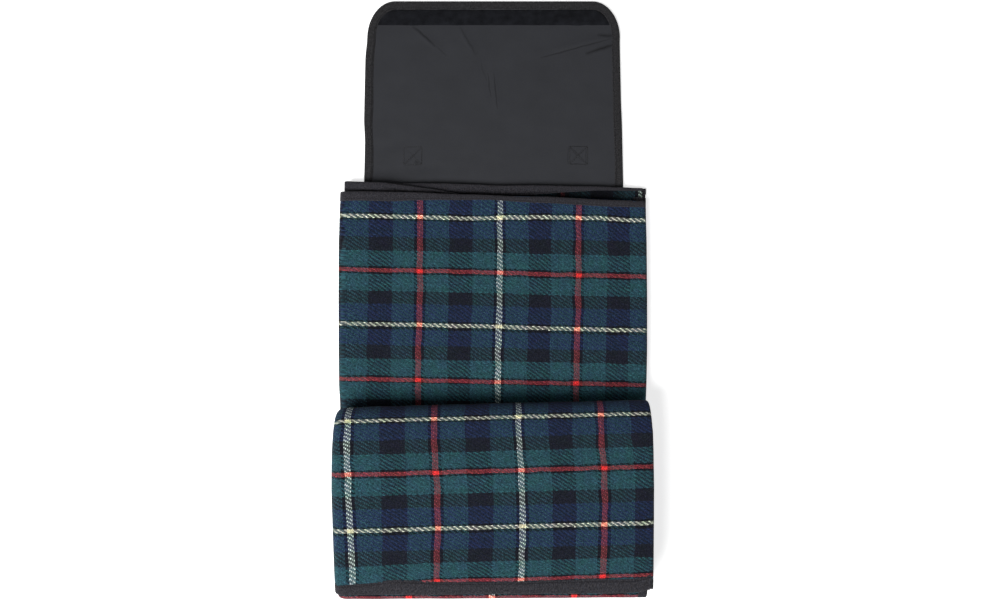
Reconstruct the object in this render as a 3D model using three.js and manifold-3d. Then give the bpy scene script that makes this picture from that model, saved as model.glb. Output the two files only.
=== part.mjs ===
// Camp blanket with a built-in carry flap. The blanket is folded in four across its width, into a
// long strip, and the foot half of the strip is Z-folded into a bundle. The flap lies open, inside up.
// Millimetres, +Z up. Origin: centre of the bounding box, at the floor. +Y runs from bundle to flap.
import * as THREE from 'three';
import { mergeVertices } from 'three/addons/utils/BufferGeometryUtils.js';
import Module from 'manifold-3d';

const wasm = await Module();
wasm.setup();

// ---- Driving dimensions ----

// The strip: four layers of blanket, one above the other.
const STRIP_LEFT = -170.5; // outside of the outer left fold
const STRIP_RIGHT = 168.5; // outside of the right fold
const OUTER_HEM_X = 170.5; // free side edge of the bottom layer
const INNER_HEM_X = 166; // free side edge of the third layer
const FOLD_SEGMENTS = 4; // per quarter turn of a fold

// One layer, as offsets from its middle, positive towards the tartan face.
const TARTAN = { from: 0.2, to: 1.95 };
const WADDING = { from: -0.95, to: 0.05 };
const BACKING = { from: -1.5, to: -1.1 };
const LAYER_HALF = 1.95; // half of a bound edge's thickness
const CLOTH_IN_HEM = 1.5; // the tartan face is pressed to this offset under a binding

// Bindings: folded tape round every cut edge.
const TAPE = 0.3;
const TAPE_WIDTH = 10;
const TAPE_CLEARANCE = 0.15;
const GAP = 0.3;

// Levels of the Z fold, from the floor up, with the lines across the strip where they end.
const FLAT_PITCH = 4.4; // from layer to layer in the single strip
const BUNDLE_PITCH = 5.4; // the same in the bundle, which lies looser
const LEVEL_GAP = 0.7;
const HEAD_LINE = { y: 122, slope: -0.025 }; // hemmed end of the strip, beside the flap
const TOP_FOLD_LINE = { y: -116.6, slope: 0.0255 };
const BOTTOM_FOLD_LINE = { y: -329.5, slope: 0.006 };
const FOOT_LINE = { y: -314.5, slope: 0.009 }; // hemmed end on top of the bundle

const LEVEL_HEIGHT = 3 * BUNDLE_PITCH + 2 * LAYER_HALF;
const MIDDLE_FLOOR = LEVEL_HEIGHT + LEVEL_GAP;
const TOP_FLOOR = 2 * MIDDLE_FLOOR;

// The carry flap, flat on its handle.
const FLAP_TAB_Y = 101; // sewn end, under the strip
const SEAM_Y = 128.6; // the flap bends here
const CREASE_Y = 204.9; // and here: between the two is the spine of the packed blanket
const FLAP_END_Y = 330.5;
const FLAP_HALF_WIDTH = 145.5; // at the strip's end
const FLAP_WIDTH_LINE = 121; // where FLAP_HALF_WIDTH is measured
const FLAP_TAPER = 4.5 / 209.5; // narrowing on each side, towards the free end
const FLAP_CORNER = { x: 31, y: 42 };
const FLAP_TAPE_WIDTH = 9.5;
const FLAP_TAPE = { from: 1.25, to: 4.05, wall: 0.25 };
const FLAP_PANEL_INSET = 0.5;
const FLAP_OUTER = { from: 1.6, to: 2.0 };
const FLAP_STIFFENER = { from: 2.2, to: 3.2 };
const FLAP_LINING = { from: 3.4, to: 3.7 };
const BEND_GAP = 0.3;

// Fastenings and handle.
const HOOK_STRIP = { halfLength: 131, from: 303.5, to: 320.5, floor: 3.85, top: 5.0 };
const LOOP_STRIP = { halfLength: 112, from: -266.1, to: -244.1, top: 0.8 };
const SEAM_TAPE = { halfLength: 146, from: 94, to: 108, top: 0.6 };
const TAB_POCKET = { halfLength: 148.5, top: 4.25 };
const BOX_STITCH = { x: 93, y: 157.5, size: 19, thread: 0.9, floor: 3.8, top: 4.1 };
const WEBBING = { halfWidth: 10, top: 1.3, anchor: 19.5 };

// ---- Materials ----

const tartanCloth = new THREE.MeshStandardMaterial({ color: 0x264a52, roughness: 0.95, metalness: 0 });
const waddingFleece = new THREE.MeshStandardMaterial({ color: 0xb9b6ac, roughness: 1, metalness: 0 });
const backingFilm = new THREE.MeshStandardMaterial({ color: 0x1c1d20, roughness: 0.6, metalness: 0 });
const bindingTape = new THREE.MeshStandardMaterial({ color: 0x1b1b20, roughness: 0.9, metalness: 0 });
const flapCloth = new THREE.MeshStandardMaterial({ color: 0x26282b, roughness: 0.8, metalness: 0 });
const flapLining = new THREE.MeshStandardMaterial({ color: 0x393b3e, roughness: 0.75, metalness: 0 });
const foamSheet = new THREE.MeshStandardMaterial({ color: 0x303236, roughness: 1, metalness: 0 });
const hookTape = new THREE.MeshStandardMaterial({ color: 0x1e1e24, roughness: 0.95, metalness: 0 });
const webbingTape = new THREE.MeshStandardMaterial({ color: 0x18181b, roughness: 0.85, metalness: 0 });
const sewingThread = new THREE.MeshStandardMaterial({ color: 0x17181a, roughness: 0.7, metalness: 0 });

// ---- Solid helpers ----

function positionsOnly(geometry) {
  const plain = geometry.clone();
  plain.deleteAttribute('normal');
  plain.deleteAttribute('uv');
  return mergeVertices(plain);
}

function toSolid(geometry) {
  const plain = positionsOnly(geometry);
  return new wasm.Manifold(new wasm.Mesh({
    numProp: 3,
    vertProperties: new Float32Array(plain.attributes.position.array),
    triVerts: new Uint32Array(plain.index.array),
  }));
}

function toGeometry(solid) {
  const mesh = solid.getMesh();
  const geometry = new THREE.BufferGeometry();
  geometry.setAttribute('position', new THREE.BufferAttribute(mesh.vertProperties, 3));
  geometry.setIndex(new THREE.BufferAttribute(mesh.triVerts, 1));
  return geometry;
}

function subtract(geometry, cutters) {
  return toGeometry(cutters.reduce((solid, cutter) => solid.subtract(toSolid(cutter)), toSolid(geometry)));
}

function box(x, y, z) {
  const geometry = new THREE.BoxGeometry(x[1] - x[0], y[1] - y[0], z[1] - z[0]);
  return geometry.translate((x[0] + x[1]) / 2, (y[0] + y[1]) / 2, (z[0] + z[1]) / 2);
}

// A shape drawn in X and Y, standing from one height to another.
function plate(shape, floor, top) {
  const settings = { depth: top - floor, bevelEnabled: false, curveSegments: 10 };
  return new THREE.ExtrudeGeometry(shape, settings).translate(0, 0, floor);
}

// A section drawn in X and Z, drawn out along Y from one end to the other.
function alongStrip(section, y) {
  const geometry = new THREE.ExtrudeGeometry(section, { depth: y[1] - y[0], bevelEnabled: false });
  return geometry.rotateX(Math.PI / 2).translate(0, y[1], 0);
}

function piece(name, geometry, material) {
  const mesh = new THREE.Mesh(geometry, material);
  mesh.name = name;
  return mesh;
}

// ---- The strip ----

const LEVELS = [
  { name: 'flat', floor: 0, pitch: FLAT_PITCH, foot: TOP_FOLD_LINE, head: HEAD_LINE, hem: 'head' },
  { name: 'base', floor: 0, pitch: BUNDLE_PITCH, foot: BOTTOM_FOLD_LINE, head: TOP_FOLD_LINE },
  {
    name: 'middle', floor: MIDDLE_FLOOR, pitch: BUNDLE_PITCH, foot: BOTTOM_FOLD_LINE, head: TOP_FOLD_LINE,
    upsideDown: true,
  },
  {
    name: 'top', floor: TOP_FLOOR, pitch: BUNDLE_PITCH, foot: FOOT_LINE, head: TOP_FOLD_LINE, hem: 'foot',
  },
];

// Height of a layer's middle, counted from the bottom layer, 0 to 3.
function layerHeight(level, layer) {
  return LAYER_HALF + layer * level.pitch;
}

// The line that one face of the blanket follows through the four layers of the strip: in along the
// bottom layer, round the outer left fold, back along the top, round the right fold, and in between.
function faceLine(level, offset, shortened) {
  const middle = (layerHeight(level, 1) + layerHeight(level, 2)) / 2;
  const upper = (layerHeight(level, 2) + layerHeight(level, 3)) / 2;
  const left = STRIP_LEFT + 1.5 * level.pitch + LAYER_HALF;
  const right = STRIP_RIGHT - 0.5 * level.pitch - LAYER_HALF;
  const line = new THREE.Path();
  line.moveTo(OUTER_HEM_X - shortened, layerHeight(level, 0) - offset);
  line.lineTo(left, layerHeight(level, 0) - offset);
  line.absarc(left, middle, 1.5 * level.pitch + offset, -Math.PI / 2, Math.PI / 2, true);
  line.absarc(right, upper, 0.5 * level.pitch + offset, Math.PI / 2, -Math.PI / 2, true);
  line.absarc(left, middle, 0.5 * level.pitch - offset, Math.PI / 2, -Math.PI / 2, false);
  line.lineTo(INNER_HEM_X - shortened, layerHeight(level, 1) + offset);
  return line.getPoints(FOLD_SEGMENTS);
}

// Turns a section upside down where the level lies so, and lifts it to the level's floor.
function setOnLevel(points, level) {
  const height = 3 * level.pitch + 2 * LAYER_HALF;
  const placed = points.map(({ x, y }) => new THREE.Vector2(x, level.floor + (level.upsideDown ? height - y : y)));
  return new THREE.Shape(placed);
}

// The blanket between two offsets, through all four layers, for a length of the strip.
function band(level, offsets, shortened, y) {
  const inside = faceLine(level, offsets.from, shortened);
  const outside = faceLine(level, offsets.to, shortened);
  return alongStrip(setOnLevel([...outside, ...inside.reverse()], level), y);
}

// Both ends of a level run at their own slant across the strip.
function slantEnds(geometry, level) {
  const positions = geometry.attributes.position;
  for (let i = 0; i < positions.count; i += 1) {
    const along = (positions.getY(i) - level.foot.y) / (level.head.y - level.foot.y);
    const slope = THREE.MathUtils.lerp(level.foot.slope, level.head.slope, along);
    positions.setY(i, positions.getY(i) + slope * positions.getX(i));
  }
  return geometry;
}

// Where a level starts and ends, its hem, and where the blanket's three sheets end inside the hem.
function lengths(level) {
  const whole = [level.foot.y + GAP / 2, level.head.y - GAP / 2];
  if (!level.hem) {
    return { whole, cloth: whole, sides: whole };
  }
  const end = level.hem === 'head' ? whole[1] : whole[0];
  const inward = level.hem === 'head' ? -1 : 1;
  const between = (a, b) => [Math.min(a, b), Math.max(a, b)];
  const far = level.hem === 'head' ? whole[0] : whole[1];
  return {
    whole,
    hem: between(end, end + inward * TAPE_WIDTH),
    hemInside: between(end + inward * TAPE, end + inward * (TAPE_WIDTH + 1)),
    pressed: between(end - inward, end + inward * (TAPE_WIDTH + TAPE_CLEARANCE)),
    cloth: between(far, end + inward * (TAPE + TAPE_CLEARANCE)),
    sides: between(far, end + inward * (TAPE_WIDTH + GAP)),
  };
}

const CLOTH_SHORTENED = TAPE + TAPE_CLEARANCE;

// The two free side edges of the blanket: the bottom layer's and the third layer's.
const SIDE_EDGES = [
  { name: 'outer', layer: 0, x: OUTER_HEM_X, tartan: -1 },
  { name: 'inner', layer: 1, x: INNER_HEM_X, tartan: 1 },
];

function sideBinding(level, edge, y) {
  const middle = layerHeight(level, edge.layer);
  const inner = edge.x - TAPE_WIDTH;
  const wall = LAYER_HALF - TAPE;
  const section = [
    [inner, -LAYER_HALF], [edge.x, -LAYER_HALF], [edge.x, LAYER_HALF], [inner, LAYER_HALF],
    [inner, wall], [edge.x - TAPE, wall], [edge.x - TAPE, -wall], [inner, -wall],
  ];
  return alongStrip(setOnLevel(section.map(([x, z]) => new THREE.Vector2(x, middle + z)), level), y);
}

// The room that a side binding presses out of the tartan face.
function sidePress(level, edge, y) {
  const middle = layerHeight(level, edge.layer);
  const near = middle + edge.tartan * CLOTH_IN_HEM;
  const far = middle + edge.tartan * (LAYER_HALF + TAPE_CLEARANCE);
  const inner = edge.x - TAPE_WIDTH - TAPE_CLEARANCE;
  const section = [[inner, near], [edge.x, near], [edge.x, far], [inner, far]];
  return alongStrip(setOnLevel(section.map(([x, z]) => new THREE.Vector2(x, z)), level), [y[0] - 1, y[1] + 1]);
}

// Room in the bottom layer for the flap's sewn end and the tape of its seam.
const FLAP_POCKETS = [
  box([-TAB_POCKET.halfLength, TAB_POCKET.halfLength], [FLAP_TAB_Y - GAP, SEAM_Y], [-1, TAB_POCKET.top]),
  box([-TAB_POCKET.halfLength, TAB_POCKET.halfLength], [SEAM_TAPE.from - GAP, FLAP_TAB_Y],
    [-1, SEAM_TAPE.top + GAP]),
];
const LOOP_POCKET = box(
  [-LOOP_STRIP.halfLength - GAP, LOOP_STRIP.halfLength + GAP],
  [LOOP_STRIP.from - GAP, LOOP_STRIP.to + GAP],
  [-1, LOOP_STRIP.top + GAP],
);
const FREE_CORNER = box([TAB_POCKET.halfLength, OUTER_HEM_X + 1], [SEAM_TAPE.from, SEAM_Y],
  [-1, TAB_POCKET.top]);
const POCKETS = { flat: FLAP_POCKETS, base: [LOOP_POCKET], middle: [], top: [] };

// A pocket has square sides once its level's ends are slanted, so it is slanted back beforehand.
function unslanted(geometry, level) {
  const mirrored = {
    foot: { y: level.foot.y, slope: -level.foot.slope },
    head: { y: level.head.y, slope: -level.head.slope },
  };
  return slantEnds(positionsOnly(geometry), mirrored);
}

// Tape round the hemmed end, through all four layers. At the head, the flap's sewn end takes the
// tape's place under the bottom layer, and only the free corner beside the flap has tape again.
function hemBindings(level, y, pockets) {
  const wall = LAYER_HALF - TAPE;
  const outside = band(level, { from: -LAYER_HALF, to: LAYER_HALF }, 0, y.hem);
  const inside = band(level, { from: -wall, to: wall }, TAPE, y.hemInside);
  const hem = subtract(outside, [inside]);
  if (level.hem === 'foot') {
    return [['hem_binding_foot', hem, bindingTape]];
  }
  const corner = unslanted(FREE_CORNER, level);
  return [
    ['hem_binding_head', subtract(hem, [...pockets, corner]), bindingTape],
    ['hem_binding_corner', toGeometry(toSolid(hem).intersect(toSolid(corner))), bindingTape],
  ];
}

function blanketLevel(level) {
  const y = lengths(level);
  const pockets = POCKETS[level.name].map((pocket) => unslanted(pocket, level));
  const presses = SIDE_EDGES.map((edge) => sidePress(level, edge, y.whole));
  if (level.hem) {
    presses.push(band(level, { from: CLOTH_IN_HEM, to: LAYER_HALF + 0.1 }, -1, y.pressed));
  }
  const sheet = (offsets) => band(level, offsets, CLOTH_SHORTENED, y.cloth);
  const pieces = [
    ['tartan', subtract(sheet(TARTAN), [...presses, ...pockets]), tartanCloth],
    ['wadding', subtract(sheet(WADDING), pockets), waddingFleece],
    ['backing', subtract(sheet(BACKING), pockets), backingFilm],
  ];
  SIDE_EDGES.forEach((edge) => {
    pieces.push([`side_binding_${edge.name}`, sideBinding(level, edge, y.sides), bindingTape]);
  });
  if (level.hem) {
    pieces.push(...hemBindings(level, y, pockets));
  }
  const group = new THREE.Group();
  pieces.forEach(([name, geometry, material]) => {
    const placed = slantEnds(positionsOnly(geometry), level);
    const named = name.startsWith('hem') ? name : `${name}_${level.name}`;
    group.add(piece(named, placed, material));
  });
  return group;
}

function seamTape() {
  const { halfLength, from, to, top } = SEAM_TAPE;
  return piece('flap_seam_tape', box([-halfLength, halfLength], [from, to], [0, top]), bindingTape);
}

function loopStrip() {
  const { halfLength, from, to, top } = LOOP_STRIP;
  return piece('loop_strip', box([-halfLength, halfLength], [from, to], [0, top]), hookTape);
}

// ---- The flap ----

function flapHalfWidth(y) {
  return FLAP_HALF_WIDTH - (y - FLAP_WIDTH_LINE) * FLAP_TAPER;
}

// A length of the flap between two bends, with straight ends.
function flapLength(y, inset) {
  const low = flapHalfWidth(y[0]) - inset;
  const high = flapHalfWidth(y[1]) - inset;
  return new THREE.Shape([
    new THREE.Vector2(-low, y[0]), new THREE.Vector2(low, y[0]),
    new THREE.Vector2(high, y[1]), new THREE.Vector2(-high, y[1]),
  ]);
}

// The cover end of the flap, with its two round corners.
function coverOutline(start, inset) {
  const cornerX = FLAP_CORNER.x - inset;
  const cornerY = FLAP_CORNER.y - inset;
  const cornerLine = FLAP_END_Y - FLAP_CORNER.y;
  const low = flapHalfWidth(start) - inset;
  const high = flapHalfWidth(cornerLine) - FLAP_CORNER.x;
  const shape = new THREE.Shape();
  shape.moveTo(-low, start);
  shape.lineTo(low, start);
  shape.absellipse(high, cornerLine, cornerX, cornerY, 0, Math.PI / 2, false);
  shape.absellipse(-high, cornerLine, cornerX, cornerY, Math.PI / 2, Math.PI, false);
  return shape;
}

function flapSideTape(y, side) {
  const strip = (inner, outer, end) => new THREE.Shape([
    new THREE.Vector2(side * (flapHalfWidth(y[0]) - inner), y[0] - end),
    new THREE.Vector2(side * (flapHalfWidth(y[0]) - outer), y[0] - end),
    new THREE.Vector2(side * (flapHalfWidth(y[1]) - outer), y[1] + end),
    new THREE.Vector2(side * (flapHalfWidth(y[1]) - inner), y[1] + end),
  ]);
  const { from, to, wall } = FLAP_TAPE;
  const outside = plate(strip(FLAP_TAPE_WIDTH, 0, 0), from, to);
  const inside = plate(strip(FLAP_TAPE_WIDTH + 1, wall, 1), from + wall, to - wall);
  return subtract(outside, [inside]);
}

function coverTape(start) {
  const { from, to, wall } = FLAP_TAPE;
  const outside = plate(coverOutline(start, 0), from, to);
  const channel = plate(coverOutline(start - 1, wall), from + wall, to - wall);
  const opening = plate(coverOutline(start - 1, FLAP_TAPE_WIDTH), from - 1, to + 1);
  return subtract(outside, [channel, opening]);
}

function boxStitch(name, x) {
  const { y, size, thread, floor, top } = BOX_STITCH;
  const half = size / 2;
  const frame = subtract(
    box([-half, half], [-half, half], [floor, top]),
    [box([thread - half, half - thread], [thread - half, half - thread], [floor - 1, top + 1])],
  );
  const diagonal = size * Math.SQRT2 - 2 * thread;
  const bar = () => box([-diagonal / 2, diagonal / 2], [-thread / 2, thread / 2], [floor, top]);
  const cross = toSolid(bar().rotateZ(Math.PI / 4)).add(toSolid(bar().rotateZ(-Math.PI / 4)));
  const stitch = piece(name, toGeometry(toSolid(frame).add(cross)), sewingThread);
  stitch.position.set(x, y, 0);
  return stitch;
}

function handleLength(name, x) {
  const { halfWidth, top } = WEBBING;
  const { y } = BOX_STITCH;
  return piece(name, box(x, [y - halfWidth, y + halfWidth], [0, top]), webbingTape);
}

function flapTab() {
  const group = new THREE.Group();
  const shape = flapLength([FLAP_TAB_Y, SEAM_Y - BEND_GAP], FLAP_PANEL_INSET);
  group.add(piece('flap_outer_tab', plate(shape, FLAP_OUTER.from, FLAP_OUTER.to), flapCloth));
  group.add(piece('flap_lining_tab', plate(shape, FLAP_LINING.from, FLAP_LINING.to), flapLining));
  return group;
}

function flapSpine() {
  const group = new THREE.Group();
  const y = [SEAM_Y + BEND_GAP, CREASE_Y - BEND_GAP];
  const shape = flapLength(y, FLAP_PANEL_INSET);
  group.add(piece('flap_outer_spine', plate(shape, FLAP_OUTER.from, FLAP_OUTER.to), flapCloth));
  group.add(piece('flap_stiffener_spine', plate(shape, FLAP_STIFFENER.from, FLAP_STIFFENER.to), foamSheet));
  group.add(piece('flap_lining_spine', plate(shape, FLAP_LINING.from, FLAP_LINING.to), flapLining));
  group.add(piece('flap_binding_left', flapSideTape(y, -1), bindingTape));
  group.add(piece('flap_binding_right', flapSideTape(y, 1), bindingTape));
  group.add(boxStitch('box_stitch_left', -BOX_STITCH.x));
  group.add(boxStitch('box_stitch_right', BOX_STITCH.x));
  const outer = BOX_STITCH.x + WEBBING.anchor / 2;
  const inner = BOX_STITCH.x - WEBBING.anchor / 2;
  group.add(handleLength('handle_end_left', [-outer, -inner]));
  group.add(handleLength('handle_end_right', [inner, outer]));
  group.add(handleLength('handle_webbing', [GAP - inner, inner - GAP]));
  return group;
}

function flapCover() {
  const group = new THREE.Group();
  const start = CREASE_Y + BEND_GAP;
  const shape = coverOutline(start, FLAP_PANEL_INSET);
  group.add(piece('flap_outer_cover', plate(shape, FLAP_OUTER.from, FLAP_OUTER.to), flapCloth));
  group.add(piece('flap_stiffener_cover', plate(shape, FLAP_STIFFENER.from, FLAP_STIFFENER.to), foamSheet));
  group.add(piece('flap_lining_cover', plate(shape, FLAP_LINING.from, FLAP_LINING.to), flapLining));
  group.add(piece('flap_binding_cover', coverTape(start), bindingTape));
  const { halfLength, from, to, floor, top } = HOOK_STRIP;
  const strip = toSolid(box([-halfLength, halfLength], [from, to], [floor, top]));
  const between = toSolid(plate(coverOutline(start, FLAP_TAPE_WIDTH + GAP), floor - 1, top + 1));
  group.add(piece('hook_strip', toGeometry(strip.intersect(between)), hookTape));
  return group;
}

const blanket = new THREE.Group();
LEVELS.forEach((level) => blanket.add(blanketLevel(level)));
blanket.add(seamTape(), loopStrip(), flapTab(), flapSpine(), flapCover());

export default blanket;
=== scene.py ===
"""Camp blanket, folded in four across its width, its foot half Z-folded into a bundle, with a
padded carry flap laid open. The looks of every sheet, tape and stitch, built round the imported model.

Lengths in this script are millimetres unless a name ends in _m. Meshes are written in metres.
A point of the blanket is given by its station, its offset and its y:
  station  0-1 bottom layer, 1-2 outer left fold, 2-3 top layer, 3-4 right fold, 4-5 second layer,
           5-6 inner left fold, 6-7 third layer; the strip's section is a spiral through these
  offset   distance from the layer's middle, positive towards the tartan face
"""
import math

import bpy
import numpy as np
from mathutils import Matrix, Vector


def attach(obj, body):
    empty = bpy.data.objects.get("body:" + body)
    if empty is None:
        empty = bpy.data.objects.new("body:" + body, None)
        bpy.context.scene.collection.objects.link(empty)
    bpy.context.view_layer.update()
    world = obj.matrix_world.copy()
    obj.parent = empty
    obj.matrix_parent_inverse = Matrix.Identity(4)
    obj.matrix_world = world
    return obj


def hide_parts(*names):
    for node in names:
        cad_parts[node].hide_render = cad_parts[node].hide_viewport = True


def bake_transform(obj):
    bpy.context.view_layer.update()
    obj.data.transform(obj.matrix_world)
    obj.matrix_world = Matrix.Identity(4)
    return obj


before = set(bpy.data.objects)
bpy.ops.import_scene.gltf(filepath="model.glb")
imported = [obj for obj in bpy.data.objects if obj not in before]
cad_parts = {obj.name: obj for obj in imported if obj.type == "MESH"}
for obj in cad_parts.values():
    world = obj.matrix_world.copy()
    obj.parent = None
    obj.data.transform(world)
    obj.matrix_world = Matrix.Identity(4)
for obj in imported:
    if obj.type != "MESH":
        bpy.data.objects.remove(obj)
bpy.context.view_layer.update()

TO_M = 0.001

# ---------------------------------------------------------------- the blanket's own dimensions
STRIP_LEFT, STRIP_RIGHT = -170.5, 168.5
OUTER_HEM_X, INNER_HEM_X = 170.5, 166.0
LAYER_HALF = 1.95
FLAT_PITCH, BUNDLE_PITCH = 4.4, 5.4
MEAN_PITCH = 5.0  # for lengths measured over the cloth
MIDDLE_FLOOR = 3 * BUNDLE_PITCH + 2 * LAYER_HALF + 0.7
TOP_FLOOR = 2 * MIDDLE_FLOOR
TAPE_WIDTH = 10.0
TAPE_INNER = 0.83  # offset of a tape's inner side, as a share of its outer side's

TURN_START, TURN_END = -100.0, -133.0  # the stretch of strip that runs from the flat part over to the bundle
TURN_Z = 8.0
TURN_BLEND = ("strip", "bundle", (0, TURN_START, TURN_Z), (0, TURN_END, TURN_Z))
TOP_NOSE, BOTTOM_NOSE = 34.0, 6.4  # how far the rounded fold noses stand out

FACE, FACE_BACK = 1.95, 0.2
PRESSED = 1.5  # the face's offset under a tape
WADDING = (0.05, -0.95)
BACKING = (-1.1, -1.5)

WARP_REPEAT, WEFT_REPEAT = 175.4, 120.6
WARP_PITCH, WEFT_PITCH = 1.6, 1.09
WARP_SQUEEZE = 0.9865  # the cloth of the bundle lies a little closer


def smooth(low, high, x):
    t = np.clip((x - low) / (high - low), 0, 1)
    return t * t * (3 - 2 * t)


def ripple(x, y, length, seed):
    """A smooth, even field of low waves, about -1 to 1."""
    random = np.random.default_rng(seed)
    total = 0
    for _ in range(7):
        angle, phase = random.uniform(0, 2 * math.pi, 2)
        wave = length * random.uniform(0.6, 1.6)
        total = total + np.sin((x * math.cos(angle) + y * math.sin(angle)) * 2 * math.pi / wave + phase)
    return total / 3.2


# ---------------------------------------------------------------- the spiral section
def fold_centres(pitch):
    """x of the axes of the left and right folds."""
    return STRIP_LEFT + 1.5 * pitch + LAYER_HALF, STRIP_RIGHT - 0.5 * pitch - LAYER_HALF


def spiral(station, pitch):
    """Place and normal, in x and z, of the layers' middle line."""
    run = np.clip(np.floor(station), 0, 6)
    part = station - run
    left, right = fold_centres(pitch)
    bottom, third, second, top = (LAYER_HALF + k * pitch for k in range(4))
    outer_angle = -math.pi / 2 - math.pi * part
    right_angle = math.pi / 2 - math.pi * part
    inner_angle = math.pi / 2 + math.pi * part
    middle = (bottom + top) / 2
    choices_x = [
        OUTER_HEM_X - part * (OUTER_HEM_X - left),
        left + 1.5 * pitch * np.cos(outer_angle),
        left + part * (right - left),
        right + 0.5 * pitch * np.cos(right_angle),
        right - part * (right - left),
        left + 0.5 * pitch * np.cos(inner_angle),
        left + part * (INNER_HEM_X - left),
    ]
    choices_z = [
        bottom + 0 * part,
        middle + 1.5 * pitch * np.sin(outer_angle),
        top + 0 * part,
        (second + top) / 2 + 0.5 * pitch * np.sin(right_angle),
        second + 0 * part,
        middle + 0.5 * pitch * np.sin(inner_angle),
        third + 0 * part,
    ]
    one, none = 1 + 0 * part, 0 * part
    normal_x = [none, np.cos(outer_angle), none, np.cos(right_angle), none, -np.cos(inner_angle), none]
    normal_z = [-one, np.sin(outer_angle), one, np.sin(right_angle), -one, -np.sin(inner_angle), one]
    conditions = [run == k for k in range(7)]
    return tuple(np.select(conditions, c) for c in (choices_x, choices_z, normal_x, normal_z))


def across(station):
    """Distance over the cloth, across the strip, zero at the middle of the top layer."""
    pitch = MEAN_PITCH
    left, right = fold_centres(pitch)
    runs = [OUTER_HEM_X - left, math.pi * 1.5 * pitch, right - left, math.pi * 0.5 * pitch,
            right - left, math.pi * 0.5 * pitch, INNER_HEM_X - left]
    knots = np.concatenate([[0], np.cumsum(runs)])
    return np.interp(station, np.arange(8), knots - knots[2] + left)


# ---------------------------------------------------------------- levels of the Z fold
def top_fold_centre(x):
    return -116.6 - TOP_NOSE + 0.0255 * x


def bottom_fold_centre(x):
    return -323.6 + 0.006 * x


def shown_edge(x):
    """The hemmed end of the top layer."""
    return np.interp(x, [-172, -93, -54, 7, 61, 74, 119, 173],
                     [115.6, 115.2, 113.1, 110.8, 110.0, 109.2, 106.6, 104.7])


def head_edge(station, x):
    """The hemmed end beside the flap: each layer lies at its own slant."""
    edge = np.interp(station, [0, 1, 2, 3, 4, 4.3, 4.6, 4.64, 4.69, 4.78, 4.88, 5, 6, 7],
                     [120.3, 116.4, 115.5, 104.9, 104.5, 106, 112, 114.8, 118, 122, 126.3, 127.9, 127.9,
                      120.4])
    third = np.interp(x, [-160, -144, -60, 7, 74, 119, 170],
                      [127.9, 127.1, 125.5, 123.5, 123.0, 122.4, 120.4])
    edge = np.where((station >= 2) & (station <= 3), shown_edge(x), edge)
    return np.where(station >= 6, third, edge)


def foot_edge(station, x):
    return np.interp(station, [0, 1, 2, 2.5, 2.85, 2.95, 2.98, 3, 4, 5, 6, 7],
                     [-315.4, -315.8, -317.8, -316.2, -315.8, -315.2, -313.6, -310.8, -309.6, -314.6,
                      -314.8, -315.2])


def level_line(y):
    return lambda station, x: y + 0 * x


LEVELS = {
    "flat": dict(body="strip", floor=0.0, foot=level_line(TURN_START), head=head_edge, hem="head"),
    "turn": dict(body="strip", floor=0.0, foot=level_line(TURN_END), head=level_line(TURN_START)),
    "base": dict(body="bundle", floor=0.0, foot=lambda s, x: bottom_fold_centre(x),
                 head=level_line(TURN_END)),
    "middle": dict(body="middle_level", floor=MIDDLE_FLOOR, upside_down=True,
                   foot=lambda s, x: bottom_fold_centre(x), head=lambda s, x: top_fold_centre(x)),
    "top": dict(body="top_level", floor=TOP_FLOOR, foot=foot_edge, head=lambda s, x: top_fold_centre(x),
                hem="foot"),
}
for level_name, level in LEVELS.items():
    level["name"] = level_name

# How far the side edges of each level stray outwards from a straight line, by y.
SIDE_SWAY = {
    "flat": ([-133, -100, -60, 0, 60, 95, 120], [0.4, 1.9, 2.3, 2.5, 2.3, 1.2, 0.4],
             [0.2, 1.0, 1.8, 1.8, 1.2, 0.3, 0.2]),
    "base": ([-330, -290, -240, -180, -133], [-0.6, 0.9, 1.4, 1.0, 0.4], [-5.2, -1.0, 1.2, 0.9, 0.2]),
    "middle": ([-330, -290, -240, -180, -120], [-0.8, 0.2, 0.9, 1.3, -0.4], [-5.2, -1.0, 0.4, 1.0, -0.6]),
    "top": ([-318, -293, -250, -207, -165, -135, -122], [-1.2, -0.1, 1.4, 2.8, 2.6, 1.0, -0.9],
            [1.4, 1.6, 1.9, 2.2, 1.8, 0.9, -1.3]),
}


def side_sway(level_name, y):
    knots, left, right = SIDE_SWAY[level_name]
    return np.interp(y, knots, left), np.interp(y, knots, right)


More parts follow.
